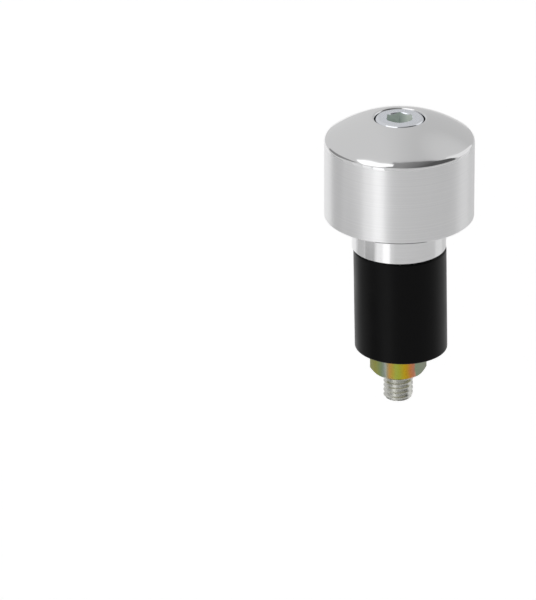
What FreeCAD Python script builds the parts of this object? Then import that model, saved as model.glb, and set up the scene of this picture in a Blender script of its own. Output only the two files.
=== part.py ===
import FreeCAD, Part
import math
import os

# Bar end weight for a motorcycle handlebar, in millimetres.
# +Z runs along the turning axis, from the handlebar out to the domed head.
# The origin is the centre of the head's rear face, which meets the end of the bar.

# Head and spigot, turned from one bar
head_diameter = 30.0
edge_height = 16.5  # height at which crown and flank would meet in a sharp edge
crown_rise = 5.1  # from that edge up to the top of the crown
shoulder_radius = 1.3
rear_edge_chamfer = 0.1
spigot_diameter = 18.9
spigot_length = 7.0
spigot_end_chamfer = 0.2
screw_hole_clearance = 0.3  # on the radius, round the screw's shank
screw_seat_height = 15.0  # floor of the counterbore
counterbore_clearance = 0.15  # on the radius, round the screw's head
counterbore_rim_chamfer = 0.4
hole_end_chamfer = 0.4

# Rubber expander sleeve
sleeve_diameter = 18.6
sleeve_length = 22.0
sleeve_edge_chamfer = 0.35
sleeve_hole_clearance = 0.5  # on the radius, round the screw's shank

# Hexagon nut
nut_across_flats = 10.0
nut_height = 5.2
nut_face_diameter = 9.7  # flat ring that the chamfer leaves on each face
nut_chamfer_angle = 40.0
nut_thread_clearance = 0.07  # on the radius, in place of the thread's flanks
nut_countersink = 0.45
nut_turn = 3.0  # turn of its front face about the axis, in degrees

# Socket head cap screw
screw_length = 55.0  # under the head
shank_diameter = 6.0
thread_diameter = 5.95
thread_length = 24.0
thread_run_in = 0.5
tip_chamfer = 0.4
screw_head_diameter = 9.8
screw_head_height = 6.0
screw_head_radius = 0.7
under_head_flare = 0.25  # cone that strengthens the neck
socket_across_flats = 5.0
socket_depth = 3.2
socket_floor_angle = 30.0  # slope of the conical floor
socket_mouth_diameter = 5.45  # cone that breaks the socket's edges between its corners
socket_mouth_angle = 45.0

# The front faces -Y. Directions are angles in degrees round the axis, from +X towards +Y.
front_direction = -90.0
side_direction = 0.0
axis_base = FreeCAD.Vector(0, 0, 0)
axis_up = FreeCAD.Vector(0, 0, 1)


def point(radius, height):
    return FreeCAD.Vector(radius, 0, height)


def line(start, end):
    return Part.LineSegment(point(*start), point(*end)).toShape()


def arc(centre, radius, start_angle, end_angle):
    """Arc in the axis plane, with its angles in degrees from the radius towards +Z."""
    ends = [start_angle, (start_angle + end_angle) / 2, end_angle]
    on_arc = []
    for angle in ends:
        turn = math.radians(angle)
        on_arc.append(point(centre[0] + radius * math.cos(turn), centre[1] + radius * math.sin(turn)))
    return Part.Arc(*on_arc).toShape()


def turned(edges):
    """Solid of revolution about the axis, from a closed outline in the axis plane."""
    outline = Part.Face(Part.Wire(Part.__sortEdges__(edges)))
    return outline.revolve(axis_base, axis_up, 360)


def turned_polygon(corners):
    """Solid of revolution about the axis, from straight lines through the corners."""
    sides = []
    for index, corner in enumerate(corners):
        sides.append(line(corner, corners[(index + 1) % len(corners)]))
    return turned(sides)


def hexagon_prism(across_flats, bottom, top, flat_direction):
    """Hexagon bar along the axis, with one flat that faces flat_direction in degrees."""
    corner_radius = across_flats / 2 / math.cos(math.radians(30))
    corners = []
    for index in range(7):
        turn = math.radians(flat_direction + 30 + 60 * index)
        corners.append(FreeCAD.Vector(corner_radius * math.cos(turn), corner_radius * math.sin(turn), bottom))
    face = Part.Face(Part.makePolygon(corners))
    return face.extrude(FreeCAD.Vector(0, 0, top - bottom))


# Places along the axis and radii that follow from the sizes above
head_radius = head_diameter / 2
crown_radius = (head_radius ** 2 + crown_rise ** 2) / (2 * crown_rise)
crown_centre = edge_height + crown_rise - crown_radius
screw_hole_radius = shank_diameter / 2 + screw_hole_clearance
counterbore_radius = screw_head_diameter / 2 + counterbore_clearance
spigot_radius = spigot_diameter / 2
sleeve_top = -spigot_length
sleeve_bottom = sleeve_top - sleeve_length
nut_top = sleeve_bottom
nut_bottom = nut_top - nut_height
screw_top = screw_seat_height + screw_head_height
screw_tip = screw_seat_height - screw_length
thread_start = screw_tip + thread_length


def crown_height(radius):
    return crown_centre + math.sqrt(crown_radius ** 2 - radius ** 2)


def crown_angle(radius):
    """Angle on the crown's arc, in degrees from the horizontal, at this distance from the axis."""
    return math.degrees(math.acos(radius / crown_radius))


def make_weight_head():
    # The shoulder's rounding touches the flank and the crown, so its centre lies inside both.
    shoulder_centre_radius = head_radius - shoulder_radius
    shoulder_rise = math.sqrt((crown_radius - shoulder_radius) ** 2 - shoulder_centre_radius ** 2)
    shoulder = (shoulder_centre_radius, crown_centre + shoulder_rise)
    shoulder_angle = math.degrees(math.atan2(shoulder_rise, shoulder_centre_radius))

    rim_outer = counterbore_radius + counterbore_rim_chamfer
    rim_height = crown_height(rim_outer)
    rim_foot = rim_height - counterbore_rim_chamfer
    hole_foot = -spigot_length + hole_end_chamfer
    spigot_foot = -spigot_length + spigot_end_chamfer
    edges = [
        line((screw_hole_radius, hole_foot), (screw_hole_radius, screw_seat_height)),
        line((screw_hole_radius, screw_seat_height), (counterbore_radius, screw_seat_height)),
        line((counterbore_radius, screw_seat_height), (counterbore_radius, rim_foot)),
        line((counterbore_radius, rim_foot), (rim_outer, rim_height)),
        arc((0, crown_centre), crown_radius, crown_angle(rim_outer), shoulder_angle),
        arc(shoulder, shoulder_radius, shoulder_angle, 0),
        line((head_radius, shoulder[1]), (head_radius, rear_edge_chamfer)),
        line((head_radius, rear_edge_chamfer), (head_radius - rear_edge_chamfer, 0)),
        line((head_radius - rear_edge_chamfer, 0), (spigot_radius, 0)),
        line((spigot_radius, 0), (spigot_radius, spigot_foot)),
        line((spigot_radius, spigot_foot), (spigot_radius - spigot_end_chamfer, -spigot_length)),
        line((spigot_radius - spigot_end_chamfer, -spigot_length),
             (screw_hole_radius + hole_end_chamfer, -spigot_length)),
        line((screw_hole_radius + hole_end_chamfer, -spigot_length), (screw_hole_radius, hole_foot)),
    ]
    return turned(edges)


def make_expander_sleeve():
    inner = shank_diameter / 2 + sleeve_hole_clearance
    outer = sleeve_diameter / 2
    end_radius = outer - sleeve_edge_chamfer
    return turned_polygon([
        (inner, sleeve_bottom),
        (end_radius, sleeve_bottom),
        (outer, sleeve_bottom + sleeve_edge_chamfer),
        (outer, sleeve_top - sleeve_edge_chamfer),
        (end_radius, sleeve_top),
        (inner, sleeve_top),
    ])


def make_hex_nut():
    prism = hexagon_prism(nut_across_flats, nut_bottom, nut_top, front_direction + nut_turn)
    corner_radius = nut_across_flats / 2 / math.cos(math.radians(30))
    face_radius = nut_face_diameter / 2
    chamfer_height = (corner_radius - face_radius) * math.tan(math.radians(nut_chamfer_angle))
    bore = thread_diameter / 2 + nut_thread_clearance
    blank = turned_polygon([
        (bore, nut_bottom + nut_countersink),
        (bore, nut_top - nut_countersink),
        (bore + nut_countersink, nut_top),
        (face_radius, nut_top),
        (corner_radius, nut_top - chamfer_height),
        (corner_radius, nut_bottom + chamfer_height),
        (face_radius, nut_bottom),
        (bore + nut_countersink, nut_bottom),
    ])
    return prism.common(blank)


def make_socket_screw():
    head_r = screw_head_diameter / 2
    shank_r = shank_diameter / 2
    thread_r = thread_diameter / 2
    head_rounding = (head_r - screw_head_radius, screw_top - screw_head_radius)
    neck_r = shank_r + under_head_flare
    neck_foot = screw_seat_height - under_head_flare
    edges = [
        line((0, screw_tip), (0, screw_top)),
        line((0, screw_top), (head_rounding[0], screw_top)),
        arc(head_rounding, screw_head_radius, 90, 0),
        line((head_r, head_rounding[1]), (head_r, screw_seat_height)),
        line((head_r, screw_seat_height), (neck_r, screw_seat_height)),
        line((neck_r, screw_seat_height), (shank_r, neck_foot)),
        line((shank_r, neck_foot), (shank_r, thread_start + thread_run_in)),
        line((shank_r, thread_start + thread_run_in), (thread_r, thread_start)),
        line((thread_r, thread_start), (thread_r, screw_tip + tip_chamfer)),
        line((thread_r, screw_tip + tip_chamfer), (thread_r - tip_chamfer, screw_tip)),
        line((thread_r - tip_chamfer, screw_tip), (0, screw_tip)),
    ]
    return turned(edges).cut(make_key_socket())


def make_key_socket():
    """The hollow that the hexagon key enters: hexagon walls, conical floor and bevelled mouth."""
    floor = screw_top - socket_depth
    walls = hexagon_prism(socket_across_flats, floor, screw_top, side_direction)
    floor_radius = socket_across_flats / 2
    floor_cone = turned_polygon([
        (0, floor),
        (floor_radius, floor),
        (0, floor - floor_radius * math.tan(math.radians(socket_floor_angle))),
    ])
    mouth_radius = socket_mouth_diameter / 2
    mouth = turned_polygon([
        (0, screw_top),
        (mouth_radius, screw_top),
        (0, screw_top - mouth_radius * math.tan(math.radians(socket_mouth_angle))),
    ])
    return walls.fuse([floor_cone, mouth])


pieces = {
    "weight_head": make_weight_head(),
    "expander_sleeve": make_expander_sleeve(),
    "hex_nut": make_hex_nut(),
    "socket_screw": make_socket_screw(),
}

os.makedirs("parts", exist_ok=True)
for name, shape in pieces.items():
    solid = shape.Solids[0]
    print(name, "solids", len(shape.Solids), "valid", solid.isValid(), "volume", round(solid.Volume, 1))
    solid.exportStep("parts/" + name + ".step")
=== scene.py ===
import bpy
import bmesh
import math
from mathutils import Matrix, Quaternion, Vector


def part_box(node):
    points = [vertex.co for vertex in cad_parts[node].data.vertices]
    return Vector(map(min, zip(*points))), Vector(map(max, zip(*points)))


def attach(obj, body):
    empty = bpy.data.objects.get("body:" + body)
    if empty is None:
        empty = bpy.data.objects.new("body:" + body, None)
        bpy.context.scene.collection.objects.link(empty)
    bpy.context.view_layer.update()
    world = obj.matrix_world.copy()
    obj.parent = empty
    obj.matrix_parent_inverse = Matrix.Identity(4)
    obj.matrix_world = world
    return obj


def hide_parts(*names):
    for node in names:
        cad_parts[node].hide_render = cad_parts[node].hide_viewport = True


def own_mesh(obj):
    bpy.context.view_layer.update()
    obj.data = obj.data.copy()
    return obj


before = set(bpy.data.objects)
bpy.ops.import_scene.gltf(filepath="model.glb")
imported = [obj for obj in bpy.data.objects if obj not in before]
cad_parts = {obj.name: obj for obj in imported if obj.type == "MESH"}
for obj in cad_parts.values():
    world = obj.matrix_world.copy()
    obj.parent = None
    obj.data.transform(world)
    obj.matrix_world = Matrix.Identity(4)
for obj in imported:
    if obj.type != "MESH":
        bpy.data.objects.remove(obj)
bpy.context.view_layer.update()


# The weight head is a domed aluminium slug turned from bar in one piece with the spigot behind it.
# Its flank keeps the fine rings of a satin cut, its crown is cut bright, and the spigot is cut smooth.
# A counterbore and a clearance hole take the clamping screw, which holds it to the bar.
head_low, head_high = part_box("weight_head")
head_radius = head_high.x
spigot_end = head_low.z
spigot_radius = 0.00945
edge_height = 0.0165
crown_rise = 0.0051
shoulder_radius = 0.0013
shoulder_margin = 0.0001
rear_edge_chamfer = 0.00025
spigot_end_chamfer = 0.00032
counterbore_radius = 0.00505
counterbore_floor = 0.015
counterbore_rim_radius = 0.0004
screw_hole_radius = 0.0033
screw_hole_chamfer = 0.0004
edge_easing = 0.00006
easing_margin = 1.6  # where the faces beside an eased edge begin, in lengths of its rounding
head_segments = 288
rim_steps, crown_steps, shoulder_steps = 16, 60, 28
crown_radius = (head_radius ** 2 + crown_rise ** 2) / (2 * crown_rise)
crown_centre = edge_height + crown_rise - crown_radius


def arc_points(centre, radius, start, end, steps):
    """Points on an arc of the outline, from start to end in degrees."""
    points = []
    for step in range(steps + 1):
        turn = math.radians(start + (end - start) * step / steps)
        points.append((centre[0] + radius * math.cos(turn), centre[1] + radius * math.sin(turn)))
    return points


def eased_corner(before, corner, after, radius, steps=4):
    """A corner of the outline rounded by radius.

    A point close by on each side keeps the faces beside it flat.
    """
    at = Vector(corner)
    back = (Vector(before) - at).normalized()
    on = (Vector(after) - at).normalized()
    half = back.angle(on) / 2
    reach = radius / math.tan(half)
    centre = at + (back + on).normalized() * (radius / math.sin(half))
    first, last = at + back * reach, at + on * reach
    points = [tuple(at + back * reach * easing_margin)]
    for step in range(steps + 1):
        chord = first.lerp(last, step / steps) - centre
        points.append(tuple(centre + chord.normalized() * radius))
    points.append(tuple(at + on * reach * easing_margin))
    return points


def even_angles(segments):
    return [2 * math.pi * index / segments for index in range(segments)]


def ring_at(angles, radius, height):
    return [(radius, height)] * len(angles)


def banded(stretches):
    """Rings or outline points in order and their material numbers, from stretches of one finish each."""
    rings, finishes = [], []
    for finish, stretch in stretches:
        rings += stretch
        finishes += [finish] * len(stretch)
    return rings, finishes


def skin(name, angles, rings, finishes, closed=False, lead=0):
    """A mesh over rings of (radius, height) about the axis, one pair for each angle.

    finishes gives the material number of each band between two rings. With a lead, a band that has gone
    round once carries on that many rings further along, as a screw thread does.
    """
    count = len(angles)
    points = []
    for ring in rings:
        for angle, (radius, height) in zip(angles, ring):
            points.append((radius * math.cos(angle), radius * math.sin(angle), height))
    # How far along the outline each ring lies, in millimetres, which places the tool's rings.
    millimetres = 1000
    path = [0.0]
    for ring, following in zip(rings, rings[1:] + rings[:1]):
        path.append(path[-1] + math.dist(ring[0], following[0]) * millimetres)
    bands = len(rings) if closed else len(rings) - 1
    faces, corners, numbers = [], [], []
    for band in range(bands):
        upper = (band + 1) % len(rings)
        lower_path, upper_path = path[band], path[band + 1]
        for index in range(count):
            wrapped = index + 1 == count
            shift = lead if wrapped else 0
            if upper + shift >= len(rings):
                continue
            right = 0 if wrapped else index + 1
            faces.append((band * count + index, (band + shift) * count + right,
                          (upper + shift) * count + right, upper * count + index))
            left_turn = angles[index] / (2 * math.pi)
            right_turn = 1.0 if wrapped else angles[index + 1] / (2 * math.pi)
            corners += [left_turn, lower_path, right_turn, lower_path,
                        right_turn, upper_path, left_turn, upper_path]
            numbers.append(finishes[band])
    mesh = bpy.data.meshes.new(name)
    mesh.from_pydata(points, [], faces)
    mesh.uv_layers.new(name="turning").data.foreach_set("uv", corners)
    mesh.polygons.foreach_set("material_index", numbers)
    return mesh


def as_piece(name, meshes, materials, sharp_angle=35, seam_gap=2e-7):
    """One object from meshes that share their seams, with smooth faces and sharp corners."""
    joined = bmesh.new()
    for mesh in meshes:
        joined.from_mesh(mesh)
    bmesh.ops.remove_doubles(joined, verts=joined.verts, dist=seam_gap)
    bmesh.ops.recalc_face_normals(joined, faces=joined.faces)
    mesh = bpy.data.meshes.new(name)
    joined.to_mesh(mesh)
    joined.free()
    mesh.polygons.foreach_set("use_smooth", [True] * len(mesh.polygons))
    mesh.set_sharp_from_angle(angle=math.radians(sharp_angle))
    for material in materials:
        mesh.materials.append(material)
    piece = bpy.data.objects.new(name, mesh)
    bpy.context.scene.collection.objects.link(piece)
    return piece


def plain_material(name, colour, roughness, metallic):
    """A material of one colour and gloss, with its nodes, its links and its shader."""
    material = bpy.data.materials.new(name)
    material.use_nodes = True
    shader = material.node_tree.nodes["Principled BSDF"]
    shader.inputs["Base Color"].default_value = (*colour, 1)
    shader.inputs["Roughness"].default_value = roughness
    shader.inputs["Metallic"].default_value = metallic
    return material, material.node_tree.nodes, material.node_tree.links, shader


def feed(links, socket, value):
    """Links a socket to the one that gives its value, or sets it to a plain number or colour."""
    if isinstance(value, bpy.types.NodeSocket):
        links.new(value, socket)
    else:
        socket.default_value = value


def worked_out(nodes, links, operation, *values):
    """The result of one sum over sockets and plain numbers."""
    step = nodes.new("ShaderNodeMath")
    step.operation = operation
    for socket, value in zip(step.inputs, values):
        feed(links, socket, value)
    return step.outputs[0]


def in_range(nodes, links, source, low, high, source_range=(0.3, 0.7), smooth=False):
    """A value carried from its own range, which is 0.3 to 0.7 for most of a noise, to low and high."""
    limits = nodes.new("ShaderNodeMapRange")
    if smooth:
        limits.interpolation_type = "SMOOTHSTEP"
    feed(links, limits.inputs["Value"], source)
    feed(links, limits.inputs["From Min"], source_range[0])
    feed(links, limits.inputs["From Max"], source_range[1])
    feed(links, limits.inputs["To Min"], low)
    feed(links, limits.inputs["To Max"], high)
    return limits.outputs["Result"]


# Sockets of a Mix node that mixes colours
MIX_SHARE, MIX_FIRST, MIX_SECOND, MIX_RESULT = 0, 6, 7, 2


def tinted(nodes, links, shader, share, first, second):
    """Gives a surface a colour between two, by a share from 0 to 1."""
    tint = nodes.new("ShaderNodeMix")
    tint.data_type = "RGBA"
    feed(links, tint.inputs[MIX_SHARE], share)
    feed(links, tint.inputs[MIX_FIRST], (*first, 1))
    feed(links, tint.inputs[MIX_SECOND], (*second, 1))
    links.new(tint.outputs[MIX_RESULT], shader.inputs["Base Color"])


def fine_relief(nodes, links, shader, height, strength, depth):
    """Gives a surface a relief that stands in its shading alone."""
    bump = nodes.new("ShaderNodeBump")
    bump.inputs["Strength"].default_value = strength
    bump.inputs["Distance"].default_value = depth
    links.new(height, bump.inputs["Height"])
    links.new(bump.outputs["Normal"], shader.inputs["Normal"])


def coordinate(nodes, links, place, axis):
    """One of the three coordinates of a place, or of a direction."""
    parts = nodes.new("ShaderNodeSeparateXYZ")
    links.new(place, parts.inputs[0])
    return parts.outputs[axis]


def noise_along(nodes, links, source, density, detail):
    """Noise that varies only with one coordinate, density times a millimetre."""
    noise = nodes.new("ShaderNodeTexNoise")
    noise.noise_dimensions = "1D"
    noise.inputs["Scale"].default_value = 1
    noise.inputs["Detail"].default_value = detail
    links.new(worked_out(nodes, links, "MULTIPLY", source, density), noise.inputs["W"])
    return noise.outputs["Fac"]


bar_aluminium = (0.78, 0.78, 0.785)
spigot_aluminium = (0.81, 0.81, 0.815)
shaded_aluminium = (0.05, 0.05, 0.05)
groove_density = 11
gloss_density = 1.7
tone_density = 3
quarter_turn = 0.25


def turned_aluminium(name, colour, roughness, gloss_spread, stretch, groove_depth, tone_spread):
    """Bare aluminium off the lathe, with fine grooves and rings of slightly different gloss and tone.

    Its highlights are drawn out across the rings.
    """
    material, nodes, links, shader = plain_material(name, colour, roughness, 1)
    place = nodes.new("ShaderNodeUVMap")
    place.uv_map = "turning"
    along = coordinate(nodes, links, place.outputs["UV"], "Y")
    gloss = noise_along(nodes, links, along, gloss_density, 3)
    links.new(in_range(nodes, links, gloss, roughness - gloss_spread, roughness + gloss_spread),
              shader.inputs["Roughness"])
    tone = noise_along(nodes, links, along, tone_density, 2)
    darker = [part * (1 - tone_spread) for part in colour]
    lighter = [part * (1 + tone_spread) for part in colour]
    tinted(nodes, links, shader, in_range(nodes, links, tone, 0, 1), darker, lighter)
    grooves = noise_along(nodes, links, along, groove_density, 2)
    fine_relief(nodes, links, shader, grooves, strength=1, depth=groove_depth)
    around = nodes.new("ShaderNodeTangent")
    around.direction_type = "RADIAL"
    around.axis = "Z"
    links.new(around.outputs["Tangent"], shader.inputs["Tangent"])
    shader.inputs["Anisotropic"].default_value = stretch
    shader.inputs["Anisotropic Rotation"].default_value = quarter_turn
    return material


satin_flank = turned_aluminium("satin turned aluminium", bar_aluminium, roughness=0.31, gloss_spread=0.015,
                               stretch=0.6, groove_depth=1.5e-7, tone_spread=0.02)
bright_crown = turned_aluminium("bright turned crown", bar_aluminium, roughness=0.08, gloss_spread=0.01,
                                stretch=0.2, groove_depth=3e-8, tone_spread=0.006)
smooth_spigot = turned_aluminium("smooth turned spigot", spigot_aluminium, roughness=0.16, gloss_spread=0.01,
                                 stretch=0.4, groove_depth=1e-7, tone_spread=0.02)
# The counterbore's wall is painted almost black: painted shade down in the recess, over a dull finish.
bore_in_painted_shade = turned_aluminium("bored wall in painted shade", shaded_aluminium, roughness=0.5, gloss_spread=0.02,
                             stretch=0.3, groove_depth=1e-7, tone_spread=0.02)
FLANK, CROWN, SPIGOT, BORE = range(4)

rim_centre_radius = counterbore_radius + counterbore_rim_radius
rim_rise = math.sqrt((crown_radius - counterbore_rim_radius) ** 2 - rim_centre_radius ** 2)
rim_angle = math.degrees(math.atan2(rim_rise, rim_centre_radius))
rim_centre = (rim_centre_radius, crown_centre + rim_rise)
shoulder_centre_radius = head_radius - shoulder_radius
shoulder_rise = math.sqrt((crown_radius - shoulder_radius) ** 2 - shoulder_centre_radius ** 2)
shoulder_angle = math.degrees(math.atan2(shoulder_rise, shoulder_centre_radius))
shoulder_centre = (shoulder_centre_radius, crown_centre + shoulder_rise)
hole_mouth = (screw_hole_radius + screw_hole_chamfer, spigot_end)
hole_foot = (screw_hole_radius, spigot_end + screw_hole_chamfer)
seat_inner = (screw_hole_radius, counterbore_floor)
seat_outer = (counterbore_radius, counterbore_floor)
rim_foot = (counterbore_radius, rim_centre[1] - counterbore_rim_radius)
flank_top = (head_radius, shoulder_centre[1])
rear_high = (head_radius, rear_edge_chamfer)
rear_low = (head_radius - rear_edge_chamfer, 0)
spigot_root = (spigot_radius, 0)
spigot_foot = (spigot_radius, spigot_end + spigot_end_chamfer)
spigot_toe = (spigot_radius - spigot_end_chamfer, spigot_end)

head_outline, head_finishes = banded([
    (SPIGOT, [hole_foot, seat_inner]),
    (BORE, [seat_outer, rim_foot]),
    (CROWN, arc_points(rim_centre, counterbore_rim_radius, 180, rim_angle, rim_steps)),
    (CROWN, arc_points((0, crown_centre), crown_radius, rim_angle, shoulder_angle, crown_steps)),
    (CROWN, arc_points(shoulder_centre, shoulder_radius, shoulder_angle, 0, shoulder_steps)),
    (FLANK, [(head_radius, shoulder_centre[1] - shoulder_margin)]),
    (CROWN, eased_corner(flank_top, rear_high, rear_low, edge_easing / 2)),
    (CROWN, eased_corner(rear_high, rear_low, spigot_root, edge_easing / 2)),
    (SPIGOT, eased_corner(rear_low, spigot_root, spigot_foot, edge_easing)),
    (SPIGOT, eased_corner(spigot_root, spigot_foot, spigot_toe, edge_easing)),
    (SPIGOT, eased_corner(spigot_foot, spigot_toe, hole_mouth, edge_easing)),
    (SPIGOT, [hole_mouth]),
])
head_angles = even_angles(head_segments)
head_rings = [ring_at(head_angles, radius, height) for radius, height in head_outline]
head_mesh = skin("weight_head_skin", head_angles, head_rings, head_finishes, closed=True)
weight_head = as_piece("turned_weight_head", [head_mesh],
                       [satin_flank, bright_crown, smooth_spigot, bore_in_painted_shade])
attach(weight_head, "weight")
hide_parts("weight_head")


# The expander sleeve is a plain black rubber tube, cut to length and slipped over the screw.
# It seats on the spigot's end, and the nut squeezes it from behind until it grips the bar.
# Loose on the screw, it stands a little to the right of the axis, and its lower end is cut askew.
sleeve_low, sleeve_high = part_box("expander_sleeve")
sleeve_swell = 0.00005
sleeve_radius = sleeve_high.x + sleeve_swell
sleeve_hole_radius = 0.0035
sleeve_edge_radius = 0.0004
sleeve_edge_steps = 8
sleeve_segments = 192
sleeve_top_shift = 0.00019
sleeve_bottom_shift = 0.00054
sleeve_end_shortfall = 0.00017
sleeve_end_tilt = 0.65  # the share by which the shortfall grows to the left and lessens to the right


def noise_through(nodes, links, place, scale, detail=2):
    """Noise through the whole of a piece, scale times a metre."""
    noise = nodes.new("ShaderNodeTexNoise")
    noise.inputs["Scale"].default_value = scale
    noise.inputs["Detail"].default_value = detail
    links.new(place, noise.inputs["Vector"])
    return noise.outputs["Fac"]


def black_rubber(roughness=0.315, gloss_spread=0.035):
    """Moulded rubber with a dull sheen in soft clouds and a very fine grain."""
    material, nodes, links, shader = plain_material("black rubber", (0.0016, 0.0016, 0.0018), roughness, 0)
    shader.inputs["Specular IOR Level"].default_value = 0.10
    place = nodes.new("ShaderNodeTexCoord").outputs["Object"]
    clouds = noise_through(nodes, links, place, scale=160)
    links.new(in_range(nodes, links, clouds, roughness - gloss_spread, roughness + gloss_spread),
              shader.inputs["Roughness"])
    grain = noise_through(nodes, links, place, scale=5200, detail=3)
    fine_relief(nodes, links, shader, grain, strength=0.5, depth=4e-6)
    return material


sleeve_corners = [
    (sleeve_hole_radius, sleeve_low.z),
    (sleeve_radius, sleeve_low.z),
    (sleeve_radius, sleeve_high.z),
    (sleeve_hole_radius, sleeve_high.z),
]
sleeve_easings = [edge_easing, sleeve_edge_radius, sleeve_edge_radius, edge_easing]
sleeve_angles = even_angles(sleeve_segments)
sleeve_outline = []
for index, corner in enumerate(sleeve_corners):
    before = sleeve_corners[index - 1]
    after = sleeve_corners[(index + 1) % len(sleeve_corners)]
    sleeve_outline += eased_corner(before, corner, after, sleeve_easings[index], sleeve_edge_steps)
sleeve_rings = [ring_at(sleeve_angles, radius, height) for radius, height in sleeve_outline]
sleeve_finishes = [0] * len(sleeve_rings)
sleeve_mesh = skin("expander_sleeve_skin", sleeve_angles, sleeve_rings, sleeve_finishes, closed=True)
expander_sleeve = as_piece("rubber_expander_sleeve", [sleeve_mesh], [black_rubber()])
sleeve_wall = sleeve_radius - sleeve_hole_radius
for vertex in expander_sleeve.data.vertices:
    down = (sleeve_high.z - vertex.co.z) / (sleeve_high.z - sleeve_low.z)
    outward = (math.hypot(vertex.co.x, vertex.co.y) - sleeve_hole_radius) / sleeve_wall
    askew = 1 - sleeve_end_tilt * vertex.co.x / sleeve_radius
    vertex.co.z += sleeve_end_shortfall * askew * max(0, outward) * down
    # The hole follows only half of the shift, which keeps it clear of the screw.
    shift = sleeve_top_shift + (sleeve_bottom_shift - sleeve_top_shift) * down
    vertex.co.x += shift * (1 + outward) / 2
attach(expander_sleeve, "weight")
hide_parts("expander_sleeve")
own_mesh(expander_sleeve)


# The clamping screw is a cold-headed socket cap screw in steel, plated with blue-white zinc.
# Its thread is rolled to a one millimetre pitch, and its head sits in the counterbore.
screw_low, screw_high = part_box("socket_screw")
screw_top = screw_high.z
screw_head_radius = screw_high.x
screw_head_height = 0.006
screw_head_rounding = 0.0007
screw_head_steps = 12
face_margin = 0.00003  # what keeps the faces beside its rounded edge flat
shank_radius = 0.003
under_head_flare = 0.00025
socket_half_width = 0.0025
socket_depth = 0.0032
socket_floor_slope = 30
socket_flat_direction = 0
socket_corner_radius = 0.0001
socket_flat_steps = 20
socket_corner_steps = 6
socket_mouth_radius = 0.002725
socket_mouth_slope = math.tan(math.radians(45))
socket_mouth_margin = 0.00005
thread_pitch = 0.001
thread_length = 0.024
thread_outer_radius = 0.002975
thread_root_radius = 0.00250
thread_tip_chamfer = 0.0004
thread_run_in = 0.0003
thread_sink = 0.0001  # how far below its root the thread may go at its ends
screw_seat = screw_top - screw_head_height
thread_top = screw_low.z + thread_length
hexagon_side = math.pi / 3  # the turn from one flat of a hexagon to the next


def hexagon_radius(angle, half_width, flat_direction, corner_radius):
    """Distance from the axis to a hexagon with rounded corners, along an angle in radians."""
    from_flat = (angle - flat_direction + hexagon_side / 2) % hexagon_side - hexagon_side / 2
    straight = half_width / math.cos(from_flat)
    centre = (half_width - corner_radius) / math.cos(hexagon_side / 2)
    from_corner = hexagon_side / 2 - abs(from_flat)
    across = centre * math.sin(from_corner)
    if across >= corner_radius:
        return straight
    return min(straight, centre * math.cos(from_corner) + math.sqrt(corner_radius ** 2 - across ** 2))


def hexagon_angles(half_width, corner_radius, flat_direction, flat_steps, corner_steps):
    """Angles round a hexagon, close together at its rounded corners, from 0 to a full turn."""
    centre = (half_width - corner_radius) / math.cos(hexagon_side / 2)
    touch = math.atan2(centre * math.sin(hexagon_side / 2), half_width)
    angles = []
    for side in range(6):
        flat = flat_direction + side * hexagon_side
        for step in range(flat_steps):
            angles.append(flat - touch + 2 * touch * step / flat_steps)
        for step in range(corner_steps):
            angles.append(flat + touch + 2 * (hexagon_side / 2 - touch) * step / corner_steps)
    return sorted(angle % (2 * math.pi) for angle in angles)


# One pitch of the thread: share of the pitch, and share of the way from root to crest.
thread_form = [(0.0, 1.0), (0.0625, 1.0), (0.17, 0.72), (0.29, 0.4), (0.40, 0.1), (0.45, 0.02),
               (0.5, 0.0), (0.55, 0.02), (0.60, 0.1), (0.71, 0.4), (0.83, 0.72), (0.9375, 1.0)]


def thread_mesh(name, angles, start, end, margin, limit, finish):
    """The skin of a right-hand thread from start up to end, margin outside the screw's own flanks.

    limit gives the least and the largest radius allowed at a height, so that the thread can fade out.
    """
    rings = []
    first_turn = math.floor(start / thread_pitch) - 2
    last_turn = math.ceil(end / thread_pitch) + 1
    for turn in range(first_turn, last_turn):
        for share, lift in thread_form:
            ring = []
            for angle in angles:
                height = (turn + share + angle / (2 * math.pi)) * thread_pitch
                radius = thread_root_radius + (thread_outer_radius - thread_root_radius) * lift + margin
                held = min(max(height, start), end)
                least, largest = limit(held)
                if height != held:
                    radius = least
                ring.append((min(max(radius, least), largest), held))
            rings.append(ring)
    return skin(name, angles, rings, [finish] * len(rings), lead=len(thread_form))


def screw_thread_limit(height):
    """The tip's bevel takes the thread down, and its run-out brings it up to the shank."""
    bevel = thread_outer_radius - thread_tip_chamfer + (height - screw_low.z)
    run_out = (height - (thread_top - thread_pitch)) / thread_pitch
    least = thread_root_radius - thread_sink
    if run_out > 0:
        least = thread_root_radius + (thread_outer_radius - thread_root_radius) * run_out
    least = min(least, bevel)
    return least, min(thread_outer_radius, bevel)


def plated_steel(name, colour, second_colour, roughness, metallic=1, across=0):
    """Zinc plate with a fine grain in its gloss and faint clouds in its tint.

    With across, the tint changes from the axis out to that distance at its right instead: painted light that
    makes one side lighter than the other.
    """
    gloss_spread = 0.05
    material, nodes, links, shader = plain_material(name, colour, roughness, metallic)
    place = nodes.new("ShaderNodeTexCoord").outputs["Object"]
    if across:
        to_right = coordinate(nodes, links, place, "X")
        share = in_range(nodes, links, to_right, 0, 1, source_range=(0, across))
    else:
        clouds = noise_through(nodes, links, place, scale=420, detail=3)
        share = in_range(nodes, links, clouds, 0, 1)
    tinted(nodes, links, shader, share, colour, second_colour)
    grain = noise_through(nodes, links, place, scale=3500)
    links.new(in_range(nodes, links, grain, roughness - gloss_spread, roughness + gloss_spread),
              shader.inputs["Roughness"])
    fine_relief(nodes, links, shader, grain, strength=0.4, depth=3e-6)
    return material


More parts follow.
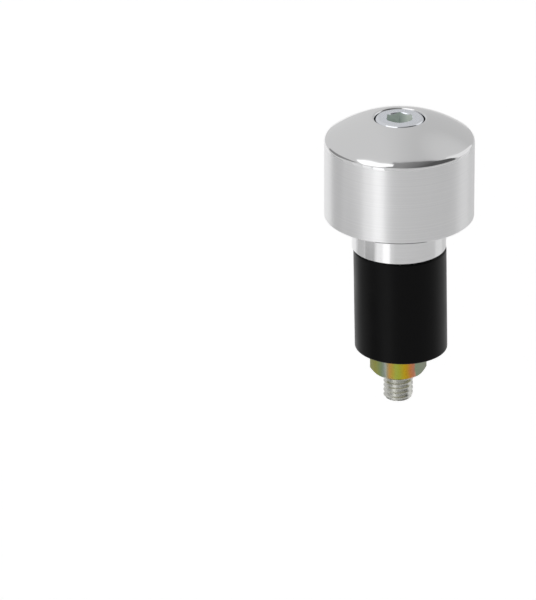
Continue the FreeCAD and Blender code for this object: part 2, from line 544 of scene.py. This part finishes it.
white_zinc = plated_steel("blue-white zinc plate", (0.80, 0.82, 0.88), (0.76, 0.79, 0.83), roughness=0.26)
white_thread = plated_steel("rolled thread in white zinc", (0.70, 0.70, 0.66), (0.62, 0.62, 0.58),
                            roughness=0.27)
# Inside the socket the right wall is painted lighter, a painted highlight where the key light falls, and the
# left wall keeps the darker tint as painted shade.
socket_zinc_painted_light = plated_steel("zinc plate inside the key socket", (0.62, 0.69, 0.66), (0.96, 1.0, 0.95),
                           roughness=0.4, metallic=0.35, across=0.0016)
bright_edge = plated_steel("bright rounded edge in white zinc", (0.82, 0.84, 0.88), (0.80, 0.82, 0.86),
                           roughness=0.13)
PLATE, THREAD, SOCKET, EDGE = range(4)

screw_angles = hexagon_angles(socket_half_width, socket_corner_radius, socket_flat_direction,
                              socket_flat_steps, socket_corner_steps)
socket_radii = [hexagon_radius(angle, socket_half_width, socket_flat_direction, socket_corner_radius)
                for angle in screw_angles]
mouth_heights = [screw_top - max(0, socket_mouth_radius - radius) * socket_mouth_slope
                 for radius in socket_radii]
socket_floor = screw_top - socket_depth
floor_drop = socket_half_width * math.tan(math.radians(socket_floor_slope))
head_edge = (screw_head_radius - screw_head_rounding, screw_top - screw_head_rounding)
edge_outline = [(head_edge[0] - face_margin, screw_top)]
edge_outline += arc_points(head_edge, screw_head_rounding, 90, 0, screw_head_steps)
shank_outline = [
    (screw_head_radius, head_edge[1] - face_margin),
    (screw_head_radius, screw_seat),
    (shank_radius + under_head_flare, screw_seat),
    (shank_radius, screw_seat - under_head_flare),
    (shank_radius, thread_top + thread_run_in),
    (thread_outer_radius, thread_top),
]
screw_rings, screw_finishes = banded([
    (SOCKET, [
        ring_at(screw_angles, 0, socket_floor - floor_drop),
        ring_at(screw_angles, socket_half_width, socket_floor),
        [(radius, socket_floor) for radius in socket_radii],
    ]),
    (PLATE, [
        list(zip(socket_radii, mouth_heights)),
        [(max(radius, socket_mouth_radius), screw_top) for radius in socket_radii],
        ring_at(screw_angles, max(socket_radii) + socket_mouth_margin, screw_top),
    ]),
    (EDGE, [ring_at(screw_angles, radius, height) for radius, height in edge_outline]),
    (PLATE, [ring_at(screw_angles, radius, height) for radius, height in shank_outline]),
])
upper_screw = skin("screw_body_skin", screw_angles, screw_rings, screw_finishes)
screw_thread = thread_mesh("screw_thread_skin", screw_angles, screw_low.z, thread_top, 0,
                           screw_thread_limit, THREAD)
tip_radius = screw_thread_limit(screw_low.z)[1]
tip_rings = [ring_at(screw_angles, tip_radius, screw_low.z), ring_at(screw_angles, 0, screw_low.z)]
screw_tip = skin("screw_tip_skin", screw_angles, tip_rings, [THREAD])
socket_screw = as_piece("socket_cap_screw", [upper_screw, screw_thread, screw_tip],
                        [white_zinc, white_thread, socket_zinc_painted_light, bright_edge], sharp_angle=30)
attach(socket_screw, "screw")
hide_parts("socket_screw")


# The nut is a standard hexagon nut in steel with yellow chromate over its zinc plate.
# The thin chromate film shows gold with rose and green stains, and a painted highlight along the front-left
# corner.
# It is spun onto the screw up to the sleeve, and its chamfers cut curved edges into the flats.
nut_low, nut_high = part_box("hex_nut")
nut_half_width = 0.005
nut_face_radius = 0.00485
nut_chamfer_slope = math.tan(math.radians(40))
nut_corner_rounding = 0.00025
nut_countersink = 0.00045
nut_thread_margin = 0.00004
nut_front_direction = math.radians(-87)
nut_flat_steps = 10
nut_corner_steps = 8
stain_density = 86  # how many times the film's stains would run through in a metre
stain_at_axis = 0.45
stain_clouding = 0.1


def yellow_chromate(roughness=0.305, gloss_spread=0.055):
    """Gold plate whose film stains run through green, amber and rose across the nut."""
    material, nodes, links, shader = plain_material("yellow chromate", (0.7, 0.55, 0.2), roughness, 1)
    place = nodes.new("ShaderNodeTexCoord").outputs["Object"]
    to_right = coordinate(nodes, links, place, "X")
    across = worked_out(nodes, links, "MULTIPLY_ADD", to_right, stain_density, stain_at_axis)
    clouds = noise_through(nodes, links, place, scale=330)
    film = nodes.new("ShaderNodeValToRGB")
    stains = [
        (0.0, (0.36, 0.36, 0.17)),
        (0.10, (0.33, 0.33, 0.07)),
        (0.16, (0.27, 0.33, 0.11)),
        (0.21, (0.24, 0.31, 0.17)),
        (0.25, (0.30, 0.35, 0.28)),
        # The pale entry falls on the nut's front-left corner: a painted highlight, a glint along that edge,
        # between real film stains.
        (0.27, (0.46, 0.50, 0.44)),
        (0.29, (0.44, 0.40, 0.25)),
        (0.34, (0.68, 0.38, 0.10)),
        (0.39, (0.58, 0.44, 0.07)),
        (0.44, (0.48, 0.53, 0.09)),
        (0.50, (0.46, 0.50, 0.06)),
        (0.55, (0.55, 0.45, 0.04)),
        (0.60, (0.63, 0.42, 0.02)),
        (0.65, (0.63, 0.36, 0.03)),
        (0.70, (0.67, 0.25, 0.08)),
        (0.765, (0.58, 0.25, 0.16)),
        (0.785, (0.20, 0.27, 0.15)),
        (0.88, (0.23, 0.26, 0.18)),
        (1.0, (0.25, 0.26, 0.20)),
    ]
    first, last = film.color_ramp.elements
    first.position, first.color = stains[0][0], (*stains[0][1], 1)
    last.position, last.color = stains[-1][0], (*stains[-1][1], 1)
    for position, colour in stains[1:-1]:
        film.color_ramp.elements.new(position).color = (*colour, 1)
    clouded = worked_out(nodes, links, "MULTIPLY_ADD", clouds, stain_clouding, across)
    links.new(clouded, film.inputs["Fac"])
    links.new(film.outputs["Color"], shader.inputs["Base Color"])
    grain = noise_through(nodes, links, place, scale=3000)
    links.new(in_range(nodes, links, grain, roughness - gloss_spread, roughness + gloss_spread),
              shader.inputs["Roughness"])
    fine_relief(nodes, links, shader, grain, strength=0.5, depth=4e-6)
    return material


nut_ends = plated_steel("yellow chromate on the end faces", (0.46, 0.44, 0.28), (0.40, 0.39, 0.26),
                        roughness=0.4)
FILM, END = range(2)


def nut_thread_limit(height):
    """The countersinks at both ends widen the nut's thread to their cones."""
    inward = min(height - nut_low.z, nut_high.z - height)
    mouth = thread_outer_radius + nut_thread_margin + nut_countersink / 2
    return max(0, mouth - inward), mouth


nut_angles = hexagon_angles(nut_half_width, nut_corner_rounding, nut_front_direction,
                            nut_flat_steps, nut_corner_steps)
nut_radii = [hexagon_radius(angle, nut_half_width, nut_front_direction, nut_corner_rounding)
             for angle in nut_angles]
nut_mouth_radius = nut_thread_limit(nut_low.z)[0]
nut_rings, nut_finishes = banded([
    (END, [ring_at(nut_angles, nut_mouth_radius, nut_low.z)]),
    (FILM, [
        ring_at(nut_angles, nut_face_radius, nut_low.z),
        [(radius, nut_low.z + (radius - nut_face_radius) * nut_chamfer_slope) for radius in nut_radii],
        [(radius, nut_high.z - (radius - nut_face_radius) * nut_chamfer_slope) for radius in nut_radii],
    ]),
    (END, [
        ring_at(nut_angles, nut_face_radius, nut_high.z),
        ring_at(nut_angles, nut_mouth_radius, nut_high.z),
    ]),
])
nut_shell = skin("nut_shell_skin", nut_angles, nut_rings, nut_finishes)
nut_thread = thread_mesh("nut_thread_skin", nut_angles, nut_low.z, nut_high.z, nut_thread_margin,
                         nut_thread_limit, END)
hex_nut = as_piece("plated_hex_nut", [nut_shell, nut_thread], [yellow_chromate(), nut_ends], sharp_angle=25)
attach(hex_nut, "nut")
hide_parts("hex_nut")


# The floor is a plain pale sheet well below the part, which hangs over it as it would sit in a bar.
# It shows white to the camera and pale grey in the bright metal, and takes the part's shadow.
floor_depth = 0.45
floor_half = 4.0
floor_grey = 0.8
floor_seen_glow = 0.5
floor_mirrored_glow = 0.19


def pale_floor():
    """A matt grey. Its glow adds to it where the camera sees it, and where metal mirrors it."""
    material, nodes, links, shader = plain_material("pale floor", [floor_grey] * 3, 0.9, 0)
    shader.inputs["Specular IOR Level"].default_value = 0
    rays = nodes.new("ShaderNodeLightPath").outputs
    mirrored = worked_out(nodes, links, "MAXIMUM", rays["Is Glossy Ray"], rays["Is Transmission Ray"])
    seen = worked_out(nodes, links, "MULTIPLY", rays["Is Camera Ray"], floor_seen_glow)
    glow = worked_out(nodes, links, "MULTIPLY_ADD", mirrored, floor_mirrored_glow, seen)
    shader.inputs["Emission Color"].default_value = (1, 1, 1, 1)
    links.new(glow, shader.inputs["Emission Strength"])
    return material


def stage_sheet(name, corners, material):
    """A flat sheet of the studio, which is no piece of the part."""
    mesh = bpy.data.meshes.new(name)
    mesh.from_pydata(corners, [], [tuple(range(len(corners)))])
    mesh.materials.append(material)
    sheet = bpy.data.objects.new(name, mesh)
    bpy.context.scene.collection.objects.link(sheet)
    return sheet


stage_sheet("floor", [(-floor_half, -floor_half, -floor_depth), (floor_half, -floor_half, -floor_depth),
                      (floor_half, floor_half, -floor_depth), (-floor_half, floor_half, -floor_depth)],
            pale_floor())


# The light is a plain studio: a pale dome, a lit cloth high at the front left and a paler one at the right.
# Soft lamps stand low on three sides, and dark and grey boards draw the dark lines in the bright metal.
# Azimuth 0 is in front of the part and 90 at its right, in degrees.
part_centre = Vector((0, 0, -0.005))


def direction(azimuth, elevation):
    """The way out from the part, one long."""
    turn, rise = math.radians(azimuth), math.radians(elevation)
    return Vector((math.sin(turn) * math.cos(rise), -math.cos(turn) * math.cos(rise), math.sin(rise)))


def soft_box(name, azimuth, elevation, distance, half_width, half_height, radiance):
    """A rectangular lamp that faces the part, its half sizes given as angles seen from the part."""
    away = direction(azimuth, elevation)
    lamp = bpy.data.lights.new(name, "AREA")
    lamp.shape = "RECTANGLE"
    lamp.size = 2 * distance * math.tan(math.radians(half_width))
    lamp.size_y = 2 * distance * math.tan(math.radians(half_height))
    lamp.energy = radiance * math.pi * lamp.size * lamp.size_y
    box = bpy.data.objects.new(name, lamp)
    box.location = part_centre + away * distance
    box.rotation_mode = "QUATERNION"
    box.rotation_quaternion = away.to_track_quat("Z", "Y")
    box.visible_camera = False
    bpy.context.scene.collection.objects.link(box)


def panel(name, azimuth, elevation, distance, material, corners):
    """A flat sheet that faces the part, its corners given as the directions in which the part sees them."""
    away = direction(azimuth, elevation)
    points = []
    for corner in corners:
        towards = direction(*corner)
        points.append(tuple(part_centre + towards * (distance / towards.dot(away))))
    sheet = stage_sheet(name, points, material)
    sheet.visible_camera = False
    sheet.visible_shadow = False


def even_glow(name, radiance):
    """A sheet that shines by itself, the same to the part and in its mirrors."""
    material, _, _, shader = plain_material(name, (0, 0, 0), 1, 0)
    shader.inputs["Specular IOR Level"].default_value = 0
    shader.inputs["Emission Color"].default_value = (1, 1, 1, 1)
    shader.inputs["Emission Strength"].default_value = radiance
    return material


def shaded_glow(name, from_x, to_x, from_radiance, to_radiance):
    """A board whose grey changes from left to right."""
    material = even_glow(name, 0)
    nodes, links = material.node_tree.nodes, material.node_tree.links
    to_right = coordinate(nodes, links, nodes.new("ShaderNodeTexCoord").outputs["Object"], "X")
    grey = in_range(nodes, links, to_right, from_radiance, to_radiance, source_range=(from_x, to_x))
    links.new(grey, nodes["Principled BSDF"].inputs["Emission Strength"])
    return material


lit_cloth = even_glow("lit cloth", 1.38)
panel("key_box", azimuth=-48, elevation=48, distance=0.6, material=lit_cloth, corners=[
    (-40, 82.6), (-84, 74.5), (-105, 63.8), (-109, 57), (-66, 31), (-57, 19.5), (-33, 24), (-13.5, 51),
    (-18.5, 70)])

# Name, azimuth, elevation, distance, half width, half height and radiance
for lamp_settings in [
    ("key_sheet", -32, -14, 0.45, 8.5, 26, 0.61),
    ("inner_sheet", -18, -14, 0.45, 5, 26, 0.09),
    ("side_sheet", -49.5, -15, 0.45, 7.5, 28, 0.34),
    ("outer_sheet", -66, -16, 0.45, 8, 26, 0.12),
    ("right_sheet", 113, -20, 0.5, 14, 26, 0.15),
    ("rear_left_sheet", -157, -25, 0.5, 26, 18, 0.26),
]:
    soft_box(*lamp_settings)

dark_cloth = even_glow("dark cloth", 0.40)
panel("low_left_board", azimuth=-70, elevation=-32, distance=0.12, material=dark_cloth, corners=[
    (-80, -46), (-47, -46), (-50, -32), (-61, -27), (-61, -20), (-89, -20), (-89, -27), (-82, -32)])
grey_cloth = even_glow("grey cloth", 0.55)
panel("far_left_board", azimuth=-105, elevation=-20, distance=0.15, material=grey_cloth, corners=[
    (-118, -29), (-93, -29), (-93, -7), (-118, -7)])
pale_cloth = even_glow("pale cloth", 0.93)
panel("right_box", azimuth=116, elevation=28, distance=0.6, material=pale_cloth, corners=[
    (106, 54), (99, 42), (96, 30), (96, 8), (118, 2), (139, 3), (139, 14), (135, 27.5), (124.5, 41),
    (114, 52.5)])
dark_board = shaded_glow("dark board", from_x=0.0, to_x=0.7, from_radiance=0.3, to_radiance=0.10)
panel("right_board", azimuth=45, elevation=45, distance=1.2, material=dark_board, corners=[
    (-66, 84.4), (-22, 26), (0, 20), (22, 17), (45, 12), (62, 11), (90, 4), (95, 33), (100, 41.7), (105, 57),
    (101, 65.5), (92, 73.6), (77, 81.6), (0, 86.9)])
grey_board = even_glow("grey board", 0.29)
panel("left_board", azimuth=-100, elevation=10, distance=1.2, material=grey_board, corners=[
    (-130, -4), (-106, -4), (-85, 9), (-72, 15), (-70, 27), (-92, 27), (-130, 11)])

# The dome is a little darker at the right, with a pale wash high at the rear right.
# The camera sees it white.
dome_left, dome_right = 0.71, 0.60
dome_change = (-0.25, 0.25)
wash_direction = direction(118, 42)
wash_spread = (0.85, 1.0)
wash_level = 0.09
white = 1.0
world = bpy.data.worlds.new("studio")
world.use_nodes = True
bpy.context.scene.world = world
dome_nodes, dome_links = world.node_tree.nodes, world.node_tree.links
dome_place = dome_nodes.new("ShaderNodeTexCoord").outputs["Generated"]
dome_side = coordinate(dome_nodes, dome_links, dome_place, "X")
dome = in_range(dome_nodes, dome_links, dome_side, dome_left, dome_right, dome_change, smooth=True)
wash_side = dome_nodes.new("ShaderNodeVectorMath")
wash_side.operation = "DOT_PRODUCT"
wash_side.inputs[1].default_value = wash_direction
dome_links.new(dome_place, wash_side.inputs[0])
wash_near = wash_side.outputs["Value"]
wash = in_range(dome_nodes, dome_links, wash_near, 0, wash_level, wash_spread, smooth=True)
washed_dome = worked_out(dome_nodes, dome_links, "ADD", dome, wash)
camera_ray = dome_nodes.new("ShaderNodeLightPath").outputs["Is Camera Ray"]
seen_dome = in_range(dome_nodes, dome_links, camera_ray, washed_dome, white, source_range=(0, 1))
dome_links.new(seen_dome, dome_nodes["Background"].inputs["Strength"])
dome_nodes["Background"].inputs["Color"].default_value = (1, 1, 1, 1)


# The camera looks down on the part from the front, far off with a long lens.
camera_pitch = math.radians(24.26)
camera_roll = math.radians(0.25)
camera_depth = 1.19967
focal_pixels = 6000
image_width, image_height = 536, 600
origin_pixel = (398.573, 214.019)
image_centre = ((image_width - 1) / 2, (image_height - 1) / 2)

lens = bpy.data.cameras.new("camera")
lens.sensor_width = 36
lens.lens = focal_pixels * lens.sensor_width / image_height
lens.clip_start = 0.05
lens.clip_end = 20
camera = bpy.data.objects.new("camera", lens)
forward = Vector((0, math.cos(camera_pitch), -math.sin(camera_pitch)))
right = Quaternion(forward, camera_roll) @ Vector((1, 0, 0))
up = right.cross(forward)
across = (origin_pixel[0] - image_centre[0]) / focal_pixels
below = (origin_pixel[1] - image_centre[1]) / focal_pixels
camera.location = -(forward + right * across - up * below) * camera_depth
camera.rotation_mode = "QUATERNION"
camera.rotation_quaternion = Matrix((right, up, -forward)).transposed().to_quaternion()
bpy.context.scene.collection.objects.link(camera)
bpy.context.scene.camera = camera
bpy.context.scene.view_settings.view_transform = "Standard"
